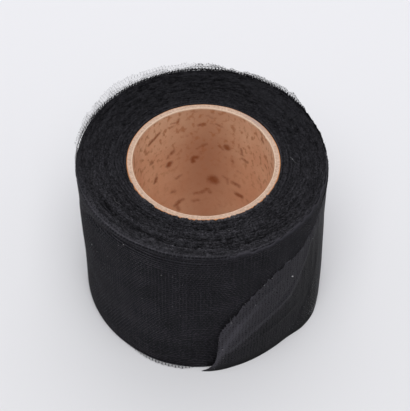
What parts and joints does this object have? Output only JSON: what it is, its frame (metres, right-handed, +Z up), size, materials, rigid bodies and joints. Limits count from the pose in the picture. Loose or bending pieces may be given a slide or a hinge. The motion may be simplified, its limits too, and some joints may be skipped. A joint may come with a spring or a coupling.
{
  "type": "roll of tulle ribbon",
  "caption": "Upright roll of fine black net ribbon wound on a pasteboard tube, its outer turn worked loose and ending in a slanting cut.",
  "frame": {"origin": "on the surface the roll stands on, at the tube's axis", "axes": "+Z up along the tube's axis; -Y towards the front, where the loose turn ends; +X to the right seen from the front"},
  "size_m": [0.1396, 0.1403, 0.1088],
  "materials": {
    "pasteboard": "matt kraft board with darker glue stains",
    "wound_net": "matt black net, many layers",
    "loose_net": "matt black net, one sheer layer"
  },
  "bodies": {
    "root": {"core_tube": "pasteboard", "wound_net": "wound_net", "loose_turn": "loose_net"}
  },
  "joints": []
}
